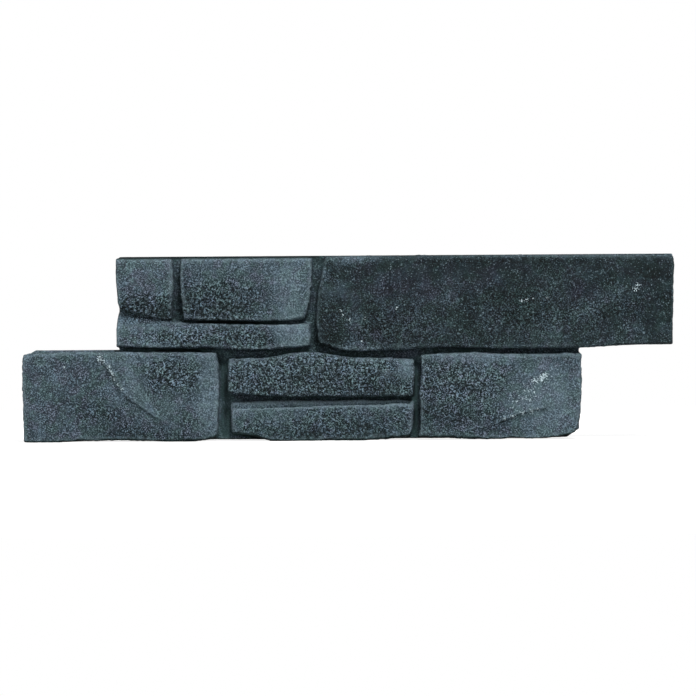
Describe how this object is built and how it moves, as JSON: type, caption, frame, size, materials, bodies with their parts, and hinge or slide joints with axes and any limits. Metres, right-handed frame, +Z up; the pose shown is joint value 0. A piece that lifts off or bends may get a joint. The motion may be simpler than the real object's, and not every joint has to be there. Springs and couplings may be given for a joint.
{
  "type": "stacked-stone wall cladding tile",
  "caption": "Interlocking wall cladding tile cast in concrete, with staggered courses of split ledge stones standing out from a flat backing.",
  "frame": {"origin": "centre of the flat back that is bedded on the wall, half way along and half way up", "axes": "+X along the wall, to the right seen from the front; +Z up; +Y into the wall, so the stones stand out towards -Y"},
  "size_m": [0.5256, 0.0307, 0.1492],
  "materials": {
    "concrete": "matte"
  },
  "bodies": {
    "root": {"stone_tile": "concrete"}
  },
  "joints": []
}
